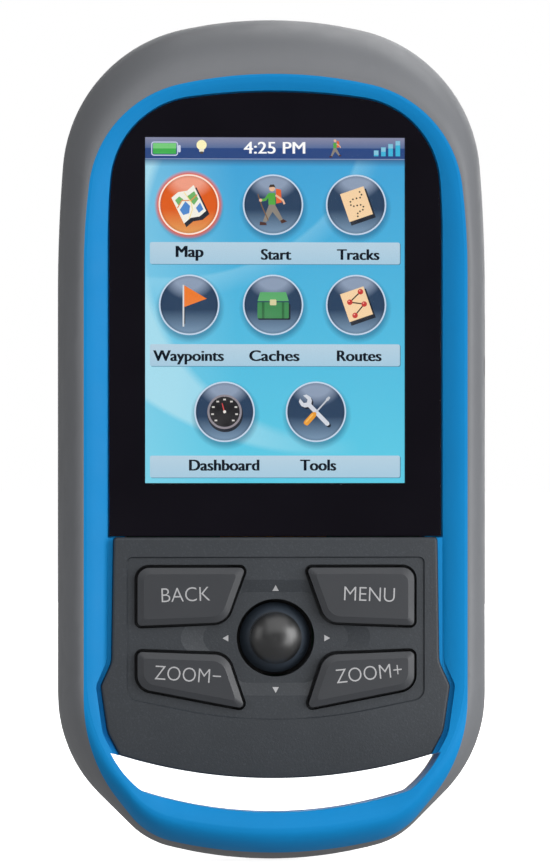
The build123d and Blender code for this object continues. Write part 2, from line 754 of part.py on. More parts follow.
def key_switches():
    """Four dome switches on the board, one behind each key."""
    group = []
    for name in KEYS:
        c = key_centre(name)
        x, z = c.X, c.Y
        can = block((x - 2.2, x + 2.2), (BOARD_FRONT_Y - 1.2, BOARD_FRONT_Y), (z - 2.2, z + 2.2))
        dome = rod(1.1, (x, z), (BOARD_FRONT_Y - 1.7, BOARD_FRONT_Y - 1.2))
        group.append(one(can + dome))
    return Compound(children=group)


# ---------------------------------------------------------------- joystick
def on_sphere(radius, degrees):
    """(distance from the axis, depth) of a point on a ball about the joystick's pivot."""
    a = math.radians(degrees)
    return radius * math.sin(a), STICK_PIVOT_Y - radius * math.cos(a)


def joystick_cap():
    """The domed cap, moulded in one with the ball-shaped skirt that fills the well."""
    bore = STEM_R + RUNNING
    inner_r = SKIRT_R - SKIRT_THICK
    bore_end = STEM_TOP_Y - 0.5
    tip, start, end = (0, FRONT_Y), *SKIRT_TURN
    foot, hem, inner_hem = on_sphere(SKIRT_R, start), on_sphere(SKIRT_R, end), on_sphere(inner_r, end)
    ceiling = on_sphere(inner_r, 22.0)
    profile = (
        Line((0, bore_end), tip)
        + ThreePointArc(tip, (CAP_R * 0.62, FRONT_Y + 0.42), (CAP_R, CAP_EDGE_Y))
        + Line((CAP_R, CAP_EDGE_Y), foot)
        + ThreePointArc(foot, on_sphere(SKIRT_R, (start + end) / 2), hem)
        + Line(hem, inner_hem)
        + ThreePointArc(inner_hem, on_sphere(inner_r, 38.0), ceiling)
        + Line(ceiling, (bore, ceiling[1]))
        + Line((bore, ceiling[1]), (bore, bore_end))
        + Line((bore, bore_end), (0, bore_end))
    )
    return Pos(0, 0, STICK_Z) * revolve(make_face(profile), Axis.Y)


def joystick_stem():
    """The stem, with a ball at the pivot and a cross pin along Z that turns in the gimbal."""
    body = rod(STEM_R, (0, STICK_Z), (STEM_TOP_Y, STICK_PIVOT_Y))
    body += Pos(0, STICK_PIVOT_Y, STICK_Z) * Sphere(STEM_R + RUNNING)
    body += Pos(0, STICK_PIVOT_Y, STICK_Z) * Cylinder(PIN_R, 5.2)
    return body


def joystick_gimbal():
    """The ring between the stem and the socket: the stem turns in it, and it turns in the socket."""
    half = GIMBAL_THICK / 2
    body = rod(GIMBAL_R, (0, STICK_Z), (STICK_PIVOT_Y - half, STICK_PIVOT_Y + half))
    body -= rod(GIMBAL_HOLE_R, (0, STICK_Z), (STICK_PIVOT_Y - CLEAR, STICK_PIVOT_Y + CLEAR))
    body -= Pos(0, STICK_PIVOT_Y, STICK_Z) * Cylinder(PIN_R + RUNNING, 8)
    for side in (-1, 1):
        pin = Rot(0, 90, 0) * Cylinder(PIN_R, 1.6)
        body += Pos(side * (GIMBAL_R + 0.5), STICK_PIVOT_Y, STICK_Z) * pin
    return body


def joystick_socket():
    """The housing of the joystick on the board, with the bearings of the gimbal's pins."""
    half, floor_y = SOCKET_HALF_W, BOARD_FRONT_Y + 0.7
    body = block((-half, half), (SOCKET_FRONT_Y, floor_y + 0.2), (STICK_Z - half, STICK_Z + half))
    body -= rod(SOCKET_BORE_R, (0, STICK_Z), (SOCKET_FRONT_Y - CLEAR, floor_y))
    body -= Pos(0, STICK_PIVOT_Y, STICK_Z) * Rot(0, 90, 0) * Cylinder(PIN_R + RUNNING, 9.0)
    return body


# ---------------------------------------------------------------- electronics
def main_board():
    body = slab(outline(*BOARD, 0.76, 1), BOARD_FRONT_Y, BOARD_BACK_Y)
    half = SOCKET_HALF_W + RUNNING
    through = (BOARD_FRONT_Y - 1, BOARD_BACK_Y + 1)
    return body - block((-half, half), through, (STICK_Z - half, STICK_Z + half))


def board_chips():
    chips = [
        block((x - w / 2, x + w / 2), (BOARD_BACK_Y, BOARD_BACK_Y + CHIP_H), (z - h / 2, z + h / 2))
        for x, z, w, h in CHIPS
    ]
    return Compound(children=[one(c) for c in chips])


def rf_shield():
    """The folded metal lid over the chips."""
    inside = [(low + SHEET, high - SHEET) for low, high in (SHIELD_X, SHIELD_Z)]
    body = block(SHIELD_X, (BOARD_BACK_Y, BOARD_BACK_Y + SHIELD_H), SHIELD_Z)
    return body - block(inside[0], (BOARD_BACK_Y - 1, BOARD_BACK_Y + SHIELD_H - SHEET), inside[1])


def beeper():
    x, z = ROUND_PARTS
    return rod(BEEPER_R, (-x, z), (BOARD_BACK_Y, BOARD_BACK_Y + BEEPER_H))


def backup_cell():
    return rod(BACKUP_R, ROUND_PARTS, (BOARD_BACK_Y, BOARD_BACK_Y + BACKUP_H))


def usb_socket():
    """A five-pin mini socket at the board's edge, open towards the side."""
    back, front = SOCKET_X
    low, high = BOARD_BACK_Y, BOARD_BACK_Y + SOCKET_H
    half, inner = SOCKET_HALF_L, SOCKET_HALF_L - SOCKET_WALL
    body = block(SOCKET_X, (low, high), (USB_Z - half, USB_Z + half))
    mouth = (low + SOCKET_WALL, high - SOCKET_WALL)
    body -= block((back + 2.0, front + 1.0), mouth, (USB_Z - inner, USB_Z + inner))
    body += block((back + 1.9, front - 1.4), (low + 1.5, low + 2.3), (USB_Z - 2.4, USB_Z + 2.4))
    return body


def gps_antenna():
    """The ceramic patch under the crown."""
    return Pos(0, ANTENNA_Y, ANTENNA_Z + ANTENNA[2] / 2) * Box(*ANTENNA)


def antenna_carrier():
    """The bracket that holds the antenna level, standing on the board."""
    across = (-CARRIER_HALF_W, CARRIER_HALF_W)
    foot, knee = 92.0, (-4.9, -4.0)
    body = block(across, (knee[0], 10.5), (ANTENNA_Z - 1.0, ANTENNA_Z))
    body += block(across, (BOARD_BACK_Y, knee[1]), (foot, foot + 3.2))
    return body + block(across, knee, (foot, ANTENNA_Z))


# ---------------------------------------------------------------- batteries
def battery_bay():
    body = slab(bay_outline(), BAY_FLOOR_Y, DOOR_SEAT_Y)
    body -= slab(bay_outline(BAY_WALL), BAY_FLOOR_Y + BAY_WALL, DOOR_SEAT_Y + 1)
    return body


def battery_cell(side):
    """One AA cell; the two stand head to tail."""
    x = side * CELL_X
    low = BAY_LOW + BAY_WALL + (NUB_END if side > 0 else SPRING_END)
    can_length = CELL_LENGTH - NUB_H
    can_low, nub_low = (low, low + can_length) if side < 0 else (low + NUB_H, low)
    can = Pos(x, CELL_Y, can_low + can_length / 2) * Cylinder(CELL_R, can_length)
    rims = [can.edges().sort_by(Axis.Z)[0], can.edges().sort_by(Axis.Z)[-1]]
    return fillet(rims, 0.6) + Pos(x, CELL_Y, nub_low + NUB_H / 2) * Cylinder(NUB_R, NUB_H)


def contact_springs():
    """The springs that press on the flat ends, wound as a helix."""
    coils = []
    for side in (-1, 1):
        low = BAY_LOW + BAY_WALL + (0.7 if side < 0 else NUB_END + CELL_LENGTH + 0.6)
        path = Helix(SPRING_PITCH, 3.7, SPRING_R, center=(side * CELL_X, CELL_Y, low))
        section = Plane(origin=path @ 0, z_dir=path % 0) * Circle(SPRING_WIRE_R)
        coils.append(one(sweep(section, path=path, is_frenet=True)))
    return Compound(children=coils)


def contact_plates():
    """The plates at the ends of the bay, one per cell end."""
    plates = []
    bottom, top = BAY_LOW + BAY_WALL, BAY_HIGH - BAY_WALL
    for x in (-CELL_X, CELL_X):
        for z in ((bottom, bottom + CONTACT_THICK), (top - CONTACT_THICK, top)):
            across, deep = ((c - CONTACT_HALF_W, c + CONTACT_HALF_W) for c in (x, CELL_Y))
            plates.append(one(block(across, deep, z)))
    return Compound(children=plates)


def door_seal_band():
    middle = (BAY_LOW + BAY_HIGH) / 2
    height = BAY_HIGH - BAY_LOW
    outer = Pos(0, middle) * RectangleRounded(33.8, height + 1.9, 3.6)
    inner = Pos(0, middle) * RectangleRounded(32.2, height + 0.3, 2.8)
    return outer - inner


def battery_door(skin):
    body = skin & slab(door_outline(-DOOR_GAP), DOOR_SEAT_Y, REAR_Y + 1)
    body -= slab(door_seal_band(), DOOR_SEAT_Y - 1, DOOR_SEAT_Y + 0.7)
    middle = (BAY_LOW + BAY_HIGH) / 2
    hollow = Pos(0, middle) * RectangleRounded(30.6, BAY_HIGH - BAY_LOW - 1.6, 2.4)
    body -= slab(hollow, DOOR_SEAT_Y - 1, DOOR_SEAT_Y + 1.3)
    body -= rod(LATCH_HEAD_R + 0.2, (0, LATCH_Z), (LATCH_BASE_Y - 0.05, REAR_Y + 1))
    body -= rod(STUD_R + 0.1, (0, LATCH_Z), (DOOR_SEAT_Y - 1, LATCH_BASE_Y + 1))
    for row in range(GRIP_ROWS):
        groove = Pos(0, GRIP_LOW + row * GRIP_PITCH) * SlotOverall(GRIP_LENGTH - 2.2 * row, GRIP_WIDTH)
        body -= slab(groove, REAR_Y - GRIP_DEPTH, REAR_Y + 1)
    return body - nail_notch()


def nail_notch():
    """The hollow across the door and the screw's rim that lets a nail lift the ring."""
    return Pos(0, REAR_Y + 0.7, LATCH_Z - LATCH_HEAD_R - 0.4) * Sphere(2.6)


def door_seal():
    return slab(door_seal_band(), DOOR_SEAT_Y, DOOR_SEAT_Y + 0.7)


def latch_insert():
    """The threaded bush in the case, its thread drawn plain."""
    body = rod(BUSH_R, (0, LATCH_Z), (BUSH_FRONT_Y, DOOR_SEAT_Y - 0.3))
    return body - rod(STUD_R + RUNNING, (0, LATCH_Z), (8, DOOR_SEAT_Y + 1))


def latch_screw():
    """The captive screw: a stud, a round head with a raised rim and a pocket for the ring."""
    body = rod(STUD_R, (0, LATCH_Z), (9.4, LATCH_BASE_Y + 0.2))
    head = rod(LATCH_HEAD_R, (0, LATCH_Z), (LATCH_BASE_Y, LATCH_TOP_Y))
    pocket = Pos(0, LATCH_Z) * Circle(RING_R + 0.25)
    pocket &= Pos(0, LATCH_Z - 5) * Rectangle(20, 12)
    head -= slab(pocket, LATCH_BASE_Y + 0.25, REAR_Y + 1)
    return body + (head - latch_pin() - nail_notch())


def latch_pin():
    return latch_bar(RING_PIN_R, 11.2)


def latch_bar(radius, length):
    """A round bar along the ring's pivot."""
    return Pos(0, LATCH_PIN_Y, LATCH_Z) * Rot(0, 90, 0) * Cylinder(radius, length)


def latch_ring():
    """The folding finger ring: a half round with a knuckle on the pin."""
    ring = Pos(0, LATCH_Z) * (Circle(RING_R) - Circle(RING_HOLE_R))
    ring &= Pos(0, LATCH_Z - 3.4) * Rectangle(12, 6.0)
    body = slab(ring, LATCH_PIN_Y - 0.4, LATCH_PIN_Y + 0.5) + latch_bar(0.68, 9.4)
    return body - latch_bar(RING_PIN_R + RUNNING, 12)


# ---------------------------------------------------------------- small parts of the case
def case_seal():
    return slab(seal_band(), FRAME_BACK_Y - SEAL_SIZE, FRAME_BACK_Y)


def case_screws():
    screws = []
    for x in (-SCREW_X, SCREW_X):
        for z in SCREW_Z:
            body = rod(SCREW_R, (x, z), (SCREW_TIP_Y, SCREW_SEAT_Y))
            top = SCREW_SEAT_Y + SCREW_HEAD_H
            head = rod(SCREW_HEAD_R, (x, z), (SCREW_SEAT_Y, top))
            drive = facing(top) * (Pos(x, z) * RegularPolygon(1.0, 6))
            screws.append(one(body + head - extrude(drive, amount=0.9)))
    return Compound(children=screws)


def usb_cover(skin):
    """The rubber cover, flush with the side, with a plug that seals the socket's mouth."""
    body = usb_recess() & skin
    plug_y = (USB_Y - 1.45, USB_Y + 1.45)
    return body + block((USB_SEAT_X - 0.85, USB_SEAT_X + 0.2), plug_y, (USB_Z - 3.2, USB_Z + 3.2))


def power_button(skin):
    """The power key on the right shoulder, barely proud, with a flange inside the case."""
    shank = extrude(power_plane(-POWER_DEEP) * SlotOverall(POWER_L, POWER_W), amount=9)
    angle = math.radians(POWER_ANGLE)
    body = Pos(POWER_PROUD * math.cos(angle), 0, POWER_PROUD * math.sin(angle)) * (shank & skin)
    foot = SlotOverall(POWER_L + 1.3, POWER_W + 1.1)
    return body + extrude(power_plane(-POWER_DEEP) * foot, amount=POWER_FLANGE)


def power_switch():
    return extrude(power_plane(-7.8) * Rectangle(5.0, 3.4), amount=1.6)


def build():
    skin = case_skin()
    parts = {
        "rear_housing": rear_housing(skin),
        "front_frame": front_frame(skin),
        "keypad_faceplate": keypad_faceplate(),
        "display_window": display_window(),
        "window_mask": window_mask(),
        "window_gasket": window_gasket(),
        "lcd_panel": lcd_panel(),
        "lcd_backlight_frame": lcd_backlight(),
        "lcd_light_guide": lcd_light_guide(),
        "lcd_foam_pad": lcd_foam_pad(),
        "lcd_ribbon": lcd_ribbon(),
        "keypad_membrane": keypad_membrane(),
        "key_switches": key_switches(),
        "joystick_cap": joystick_cap(),
        "joystick_stem": joystick_stem(),
        "joystick_gimbal": joystick_gimbal(),
        "joystick_socket": joystick_socket(),
        "main_board": main_board(),
        "board_chips": board_chips(),
        "rf_shield": rf_shield(),
        "beeper": beeper(),
        "backup_cell": backup_cell(),
        "usb_socket": usb_socket(),
        "gps_antenna": gps_antenna(),
        "antenna_carrier": antenna_carrier(),
        "battery_bay": battery_bay(),
        "battery_cell_left": battery_cell(-1),
        "battery_cell_right": battery_cell(1),
        "contact_springs": contact_springs(),
        "contact_plates": contact_plates(),
        "battery_door": battery_door(skin),
        "door_seal": door_seal(),
        "latch_insert": latch_insert(),
        "latch_screw": latch_screw(),
        "latch_pin": latch_pin(),
        "latch_ring": latch_ring(),
        "case_seal": case_seal(),
        "case_screws": case_screws(),
        "usb_cover": usb_cover(skin),
        "power_button": power_button(skin),
        "power_switch": power_switch(),
    }
    for name in KEYS:
        parts["key_" + name] = key(name)
    return parts


os.makedirs("parts", exist_ok=True)
for node, shape in build().items():
    export_step(shape, f"parts/{node}.step")
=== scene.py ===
import json
import math

import bmesh
import bpy
from mathutils import Matrix, Vector
from mathutils.bvhtree import BVHTree


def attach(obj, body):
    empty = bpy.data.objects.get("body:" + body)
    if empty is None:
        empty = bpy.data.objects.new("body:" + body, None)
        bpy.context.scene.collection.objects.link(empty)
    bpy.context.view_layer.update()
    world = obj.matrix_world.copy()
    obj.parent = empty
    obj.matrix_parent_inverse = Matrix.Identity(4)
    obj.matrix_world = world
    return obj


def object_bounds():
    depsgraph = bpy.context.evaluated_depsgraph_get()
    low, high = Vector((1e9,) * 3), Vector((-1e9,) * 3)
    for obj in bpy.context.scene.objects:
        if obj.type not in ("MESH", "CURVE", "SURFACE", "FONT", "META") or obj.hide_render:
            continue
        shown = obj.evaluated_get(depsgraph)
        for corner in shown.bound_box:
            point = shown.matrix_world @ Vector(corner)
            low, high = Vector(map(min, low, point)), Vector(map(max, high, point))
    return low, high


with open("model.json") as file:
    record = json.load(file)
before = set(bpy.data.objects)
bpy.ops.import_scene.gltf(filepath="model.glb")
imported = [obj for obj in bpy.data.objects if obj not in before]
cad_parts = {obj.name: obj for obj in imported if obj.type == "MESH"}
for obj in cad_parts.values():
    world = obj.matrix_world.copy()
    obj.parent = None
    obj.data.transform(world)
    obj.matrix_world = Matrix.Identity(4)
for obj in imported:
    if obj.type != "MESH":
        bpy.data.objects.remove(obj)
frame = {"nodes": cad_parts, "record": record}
CAD_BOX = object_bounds()
NODES = frame["nodes"]
LOW, HIGH = (Vector(corner) for corner in CAD_BOX)
SIZE = HIGH - LOW
MM = 0.001


# ---------------------------------------------------------------- material helpers
class Nodes:
    """A short way of writing a node tree: add() makes a node, and values that are sockets are linked."""

    def __init__(self, tree):
        self.tree = tree
        self.tree.nodes.clear()

    def add(self, kind, inputs=None, **settings):
        node = self.tree.nodes.new(kind)
        for key, value in settings.items():
            setattr(node, key, value)
        for key, value in (inputs or {}).items():
            if isinstance(value, bpy.types.NodeSocket):
                self.tree.links.new(value, node.inputs[key])
            else:
                node.inputs[key].default_value = value
        return node

    def place(self):
        """Where the point is in the row frame, in metres."""
        return self.add("ShaderNodeTexCoord").outputs["Object"]

    def noise(self, size, detail=2.0, roughness=0.5, place=None):
        """Noise whose features are about size metres across."""
        node = self.add(
            "ShaderNodeTexNoise",
            {"Vector": place or self.place(), "Scale": 1 / size, "Detail": detail, "Roughness": roughness},
        )
        return node.outputs["Fac"]

    def spread(self, value, low, high, start=0.3, end=0.7):
        """value from start to end is mapped to low to high."""
        node = self.add(
            "ShaderNodeMapRange",
            {"Value": value, "From Min": start, "From Max": end, "To Min": low, "To Max": high},
        )
        return node.outputs["Result"]

    def math(self, operation, a, b=0.0):
        return self.add("ShaderNodeMath", {0: a, 1: b}, operation=operation).outputs[0]

    def mix(self, factor, a, b):
        node = self.add("ShaderNodeMix", data_type="RGBA", blend_type="MIX")
        for index, value in ((0, factor), (6, a), (7, b)):
            if isinstance(value, bpy.types.NodeSocket):
                self.tree.links.new(value, node.inputs[index])
            else:
                node.inputs[index].default_value = value
        return node.outputs[2]

    def bump(self, height, depth):
        inputs = {"Height": height, "Distance": depth, "Strength": 1.0}
        return self.add("ShaderNodeBump", inputs).outputs["Normal"]

    def surface(self, inputs, kind="ShaderNodeBsdfPrincipled"):
        shader = self.add(kind, inputs)
        self.add("ShaderNodeOutputMaterial", {"Surface": shader.outputs[0]})
        return shader


def new_material(name):
    material = bpy.data.materials.new(name)
    material.use_nodes = True
    return material, Nodes(material.node_tree)


def srgb(code, alpha=1.0):
    """The linear colour of a screen colour written as six hexadecimal digits."""
    parts = [int(code[i : i + 2], 16) / 255 for i in (0, 2, 4)]
    return tuple(((c + 0.055) / 1.055) ** 2.4 if c > 0.04045 else c / 12.92 for c in parts) + (alpha,)


def shade(colour, factor):
    return tuple(min(1.0, c * factor) for c in colour[:3]) + (1.0,)


def moulded(
    name, colour, roughness, grain=0.35 * MM, relief=0.012 * MM, mottle=0.03, fleck=0.0, glow=None, shine=0.45
):
    """Moulded plastic or rubber: a spark-eroded grain, faint clouding, and polish that varies."""
    material, n = new_material(name)
    cloud = n.noise(9 * MM, 3)
    fine = n.noise(grain, 3, 0.6)
    tint = n.mix(n.spread(cloud, 0, 1), shade(colour, 1 - mottle), shade(colour, 1 + mottle))
    if fleck:
        speck = n.noise(grain * 0.8, 1, 0.7)
        tint = n.mix(n.spread(speck, 0, fleck, 0.55, 0.75), tint, shade(colour, 2.6))
    polish = n.spread(n.noise(4 * MM, 2), roughness - 0.04, roughness + 0.05)
    surface = {"Base Color": tint, "Roughness": polish, "Specular IOR Level": shine}
    if relief:
        surface["Normal"] = n.bump(fine, relief)
    # glow, when given, is painted light: a faint emission, mottled by the clouding, so the part looks lit
    # though it is no lamp.
    if glow:
        surface["Emission Color"] = n.mix(n.spread(cloud, 0, 0.2), glow, (0, 0, 0, 1))
        surface["Emission Strength"] = 1.0
    n.surface(surface)
    return material


def metal(name, colour, roughness):
    """Metal with fine wear marks and uneven polish."""
    material, n = new_material(name)
    stretched = n.add("ShaderNodeMapping", {"Vector": n.place(), "Scale": (1, 8, 1)}).outputs[0]
    marks = n.noise(0.36 * MM, 4, 0.7, stretched)
    tint = n.mix(n.spread(n.noise(3 * MM), 0, 1), shade(colour, 0.88), shade(colour, 1.08))
    n.surface(
        {
            "Base Color": tint,
            "Metallic": 1.0,
            "Roughness": n.spread(marks, roughness * 0.8, roughness * 1.3),
            "Normal": n.bump(marks, 0.004 * MM),
        }
    )
    return material


def clear_window():
    """The hard-coated window: clear, and it throws back only a little of the room."""
    material, n = new_material("window_clear")
    smear = n.noise(12 * MM, 3)
    n.surface(
        {
            "Base Color": (1, 1, 1, 1),
            "Roughness": n.spread(smear, 0.0, 0.03),
            "IOR": 1.12,
            "Transmission Weight": 1.0,
            "Specular IOR Level": 0.5,
        }
    )
    return material


def paint(name, code):
    """Printed ink, slightly uneven."""
    return moulded(name, srgb(code), 0.5, 0.2 * MM, 0.002 * MM, 0.04)


# ---------------------------------------------------------------- the lit display
def lit(name, shading):
    """A lit patch of the display. shading takes the node tree and gives the colour."""
    material, n = new_material(name)
    cells = n.noise(0.14 * MM, 0)
    tint = n.mix(n.spread(cells, 0, 0.05), shading(n), (0, 0, 0, 1))
    n.surface(
        {
            "Base Color": (0.01, 0.01, 0.01, 1),
            "Roughness": 0.4,
            "Specular IOR Level": 0.0,
            "Emission Color": tint,
            "Emission Strength": 1.0,
        }
    )
    return material


def plain(code):
    return lambda n: n.mix(n.spread(n.noise(3 * MM), 0, 0.025), srgb(code), (1, 1, 1, 1))


def box_place(n, width, height):
    """(across, up) from 0 to 1 over a piece of that size in millimetres, whose origin is at its middle."""
    parts = n.add("ShaderNodeSeparateXYZ", {0: n.place()}).outputs
    across = n.math("ADD", n.math("DIVIDE", parts["X"], width * MM), 0.5)
    return across, n.math("ADD", n.math("DIVIDE", parts["Z"], height * MM), 0.5)


def distance(n, across, up, centre, radii):
    """1 on an ellipse about centre, 0 at its middle."""
    a = n.math("DIVIDE", n.math("SUBTRACT", across, centre[0]), radii[0])
    b = n.math("DIVIDE", n.math("SUBTRACT", up, centre[1]), radii[1])
    return n.math("SQRT", n.math("ADD", n.math("MULTIPLY", a, a), n.math("MULTIPLY", b, b)))


def glossy_disc(deep, low, shine):
    """A glass button: a bright cap at the top, deep in the middle, light again at the foot."""

    def shading(n):
        across, up = box_place(n, 2 * ICON_R, 2 * ICON_R)
        tint = n.mix(n.spread(up, 0.85, 0, 0.0, 0.42), srgb(deep), srgb(low))
        cap = n.spread(distance(n, across, up, (0.5, 0.98), (0.46, 0.4)), 0.85, 0, 0.55, 1.0)
        tint = n.mix(cap, tint, srgb(shine))
        edge = n.spread(distance(n, across, up, (0.5, 0.5), (0.5, 0.5)), 0, 0.5, 0.86, 1.0)
        return n.mix(edge, tint, shade(srgb(deep), 0.35))

    return shading


def two_tone(height, top, middle, foot, split):
    """A bar that fades from top to middle, then is foot below the split."""

    def shading(n):
        _, up = box_place(n, 1, height)
        upper = n.mix(n.spread(up, 0, 1, split, 1.0), srgb(middle), srgb(top))
        return n.mix(n.spread(up, 0, 1, split - 0.01, split + 0.01), srgb(foot), upper)

    return shading


DISPLAY = Vector((0, 0, 72.25))  # the middle of the lit field, in millimetres like all that is drawn
LIT_W, LIT_H = 33.9, 45.1
FILM = 0.02  # thickness of each printed or lit layer
ICON_R = 3.95
STRIP_H = 2.88  # the status strip along the top
LABEL_H = 2.85
LABEL_ROWS = (7.45, -5.86, -20.4)
ICONS = {
    "map": (-11.26, 13.78),
    "start": (-0.27, 13.78),
    "tracks": (10.6, 13.78),
    "waypoints": (-11.22, 0.7),
    "caches": (-0.26, 0.7),
    "routes": (10.6, 0.7),
    "dashboard": (-6.6, -13.25),
    "tools": (5.35, -13.25),
}


def sky(n):
    """The wallpaper: blue to cyan downwards, with pale sweeps and the icons' soft shadows."""
    across, up = box_place(n, LIT_W, LIT_H)
    u = n.math("MULTIPLY", n.math("SUBTRACT", across, 0.5), LIT_W)
    v = n.math("MULTIPLY", n.math("SUBTRACT", up, 0.5), LIT_H)
    tint = n.mix(n.spread(v, 0, 1, -22, 20), srgb("5FCCE6"), srgb("41A3D8"))
    tint = n.mix(n.spread(u, 0.45, 0, -17, -5), tint, srgb("9ADCF0"))
    inside = n.spread(distance(n, u, v, (7, 25), (43.6, 43.6)), 1, 0, 0.995, 1.012)
    outside = n.spread(distance(n, u, v, (8.8, 9), (26, 26)), 0, 1, 0.985, 1.03)
    fade = n.spread(u, 0.75, 0, -13, 11)
    tint = n.mix(n.math("MULTIPLY", n.math("MULTIPLY", inside, outside), fade), tint, srgb("B4E4F2"))
    sweep = n.spread(distance(n, u, v, (-14, 24), (25.5, 20)), 0, 1, 0.98, 1.0)
    far = n.spread(distance(n, u, v, (-16, 26), (31, 25)), 1, 0, 0.9, 1.0)
    tint = n.mix(n.math("MULTIPLY", n.math("MULTIPLY", sweep, far), 0.35), tint, srgb("A0DCF2"))
    dark = None
    for centre in ICONS.values():
        below = (centre[0] + 0.1, centre[1] - 0.45)
        near = n.spread(distance(n, u, v, below, (ICON_R, ICON_R)), 0.5, 0, 0.96, 1.16)
        dark = near if dark is None else n.math("MAXIMUM", dark, near)
    tint = n.mix(dark, tint, srgb("173C66"))
    glow = n.spread(distance(n, u, v, ICONS["map"], (ICON_R, ICON_R)), 1, 0, 1.0, 1.14)
    tint = n.mix(glow, tint, srgb("E8603A"))
    under = n.spread(v, 0, 0.92, 18.75, 19.8)
    return n.mix(under, tint, srgb("3A5680"))


def circle(centre, radius, count=48):
    turns = [2 * math.pi * i / count for i in range(count)]
    return [(centre[0] + radius * math.cos(t), centre[1] + radius * math.sin(t)) for t in turns]


def rectangle(centre, width, height, corner=0.0):
    u, v = centre
    a, b = width / 2, height / 2
    if not corner:
        return [(u - a, v - b), (u + a, v - b), (u + a, v + b), (u - a, v + b)]
    points = []
    for i, (su, sv) in enumerate(((1, 1), (-1, 1), (-1, -1), (1, -1))):
        for step in range(7):
            t = math.radians(90 * i + 15 * step)
            middle = (u + su * (a - corner), v + sv * (b - corner))
            points.append((middle[0] + corner * math.cos(t), middle[1] + corner * math.sin(t)))
    return points


def stroke(points, width):
    """The outline of a line of that width through the points."""
    left, right = [], []
    for i, point in enumerate(points):
        before, after = points[max(i - 1, 0)], points[min(i + 1, len(points) - 1)]
        run = Vector((after[0] - before[0], after[1] - before[1])).normalized() * width / 2
        left.append((point[0] - run.y, point[1] + run.x))
        right.append((point[0] + run.y, point[1] - run.x))
    return left + right[::-1]


def placed(loops, centre, turn=0.0, scale=1.0):
    a = math.radians(turn)
    c, s = math.cos(a) * scale, math.sin(a) * scale
    return [[(centre[0] + u * c - v * s, centre[1] + u * s + v * c) for u, v in loop] for loop in loops]


def flat_piece(name, curve, place, depth, material, body):
    """A curve or a text as a thin solid that faces the user. place turns and shifts it in its plane."""
    curve.extrude = FILM / 2 * MM
    maker = bpy.data.objects.new(name, curve)
    bpy.context.scene.collection.objects.link(maker)
    shape = maker.evaluated_get(bpy.context.evaluated_depsgraph_get())
    mesh = bpy.data.meshes.new_from_object(shape)
    bpy.data.objects.remove(maker)
    mesh.name = name
    mesh.transform(Matrix.Translation((0, depth * MM, 0)) @ Matrix.Rotation(math.pi / 2, 4, "X") @ place)
    mesh.materials.clear()
    mesh.materials.append(material)
    corners = [v.co for v in mesh.vertices]
    middle = Vector([(min(c[i] for c in corners) + max(c[i] for c in corners)) / 2 for i in range(3)])
    mesh.transform(Matrix.Translation(-middle))
    piece = bpy.data.objects.new(name, mesh)
    piece.location = middle
    bpy.context.scene.collection.objects.link(piece)
    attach(piece, body)
    return piece


def cut_out(name, loops, depth, material, body="case", origin=DISPLAY):
    """Flat shapes from closed outlines in millimetres about origin. An outline inside another is a hole."""
    curve = bpy.data.curves.new(name, "CURVE")
    curve.dimensions = "2D"
    curve.fill_mode = "BOTH"
    for loop in loops:
        line = curve.splines.new("POLY")
        line.points.add(len(loop) - 1)
        for point, (u, v) in zip(line.points, loop):
            point.co = ((origin.x + u) * MM, (origin.z + v) * MM, 0, 1)
        line.use_cyclic_u = True
    return flat_piece(name, curve, Matrix.Identity(4), depth, material, body)


def text_curve(words, bold):
    curve = bpy.data.curves.new("words", "FONT")
    curve.body = words
    curve.align_x = "CENTER"
    curve.fill_mode = "BOTH"
    curve.resolution_u = 4
    curve.size = 1.0
    curve.offset = bold
    return curve


def measured(curve):
    maker = bpy.data.objects.new("measure", curve)
    bpy.context.scene.collection.objects.link(maker)
    bpy.context.view_layer.update()
    size = maker.dimensions.copy()
    bpy.data.objects.remove(maker)
    return size


def lettering(
    name, words, centre, width, cap, depth, material, body="case", origin=DISPLAY, turn=0.0, heavy=0.0
):
    """Words of a real width and capital height, their baseline's middle at centre. heavy is how far apart, in
    millimetres, the strikes that thicken them are."""
    weight = 0.0 if heavy else -0.012
    capital = measured(text_curve("H", weight)).y
    curve = text_curve(words, weight)
    stretch = ((width - heavy) * MM / measured(curve).x, cap * MM / capital)
    pieces = []
    for number, shift in enumerate((-heavy / 2, 0, heavy / 2) if heavy else (0,)):
        place = Matrix.Translation(((origin.x + centre[0] + shift) * MM, (origin.z + centre[1]) * MM, 0))
        place = place @ Matrix.Rotation(math.radians(turn), 4, "Z") @ Matrix.Diagonal((*stretch, 1, 1))
        words_curve = text_curve(words, weight)
        level = depth - 0.003 * number
        pieces.append(flat_piece(f"{name}_{number}", words_curve, place, level, material, body))
    return pieces


MAP_SHEET = [(-1.45, 1.55), (-0.5, 1.8), (0.5, 1.5), (1.45, 1.75)]
MAP_SHEET += [(1.45, -1.5), (0.5, -1.75), (-0.5, -1.45), (-1.45, -1.7)]
MAP_WATER = [
    [(-1.2, -0.1), (-0.2, 0.5), (0.05, -0.2), (-0.4, -0.9), (-1.1, -0.8)],
    [(0.55, -0.7), (1.25, -0.35), (1.25, -1.2), (0.6, -1.35)],
]
MAP_WOODS = [
    [(0.15, 0.9), (1.2, 1.1), (1.25, 0.1), (0.5, -0.3)],
    [(-1.2, 1.1), (-0.6, 1.3), (-0.3, 0.8), (-1.1, 0.4)],
]
MAP_ROADS = [
    stroke([(-1.35, 0.2), (-0.5, 0.75), (0.4, 0.3), (1.35, 0.6)], 0.13),
    stroke([(-0.7, -1.5), (0.1, -0.7), (0.35, 0.1), (0.1, 1.5)], 0.1),
]
SHEET = rectangle((0, 0), 2.7, 3.2)
TRACK = [(0.75, 1.15), (0.85, 0.8), (0.6, 0.55), (0.2, 0.6), (-0.2, 0.62), (-0.55, 0.45), (-0.62, 0.1)]
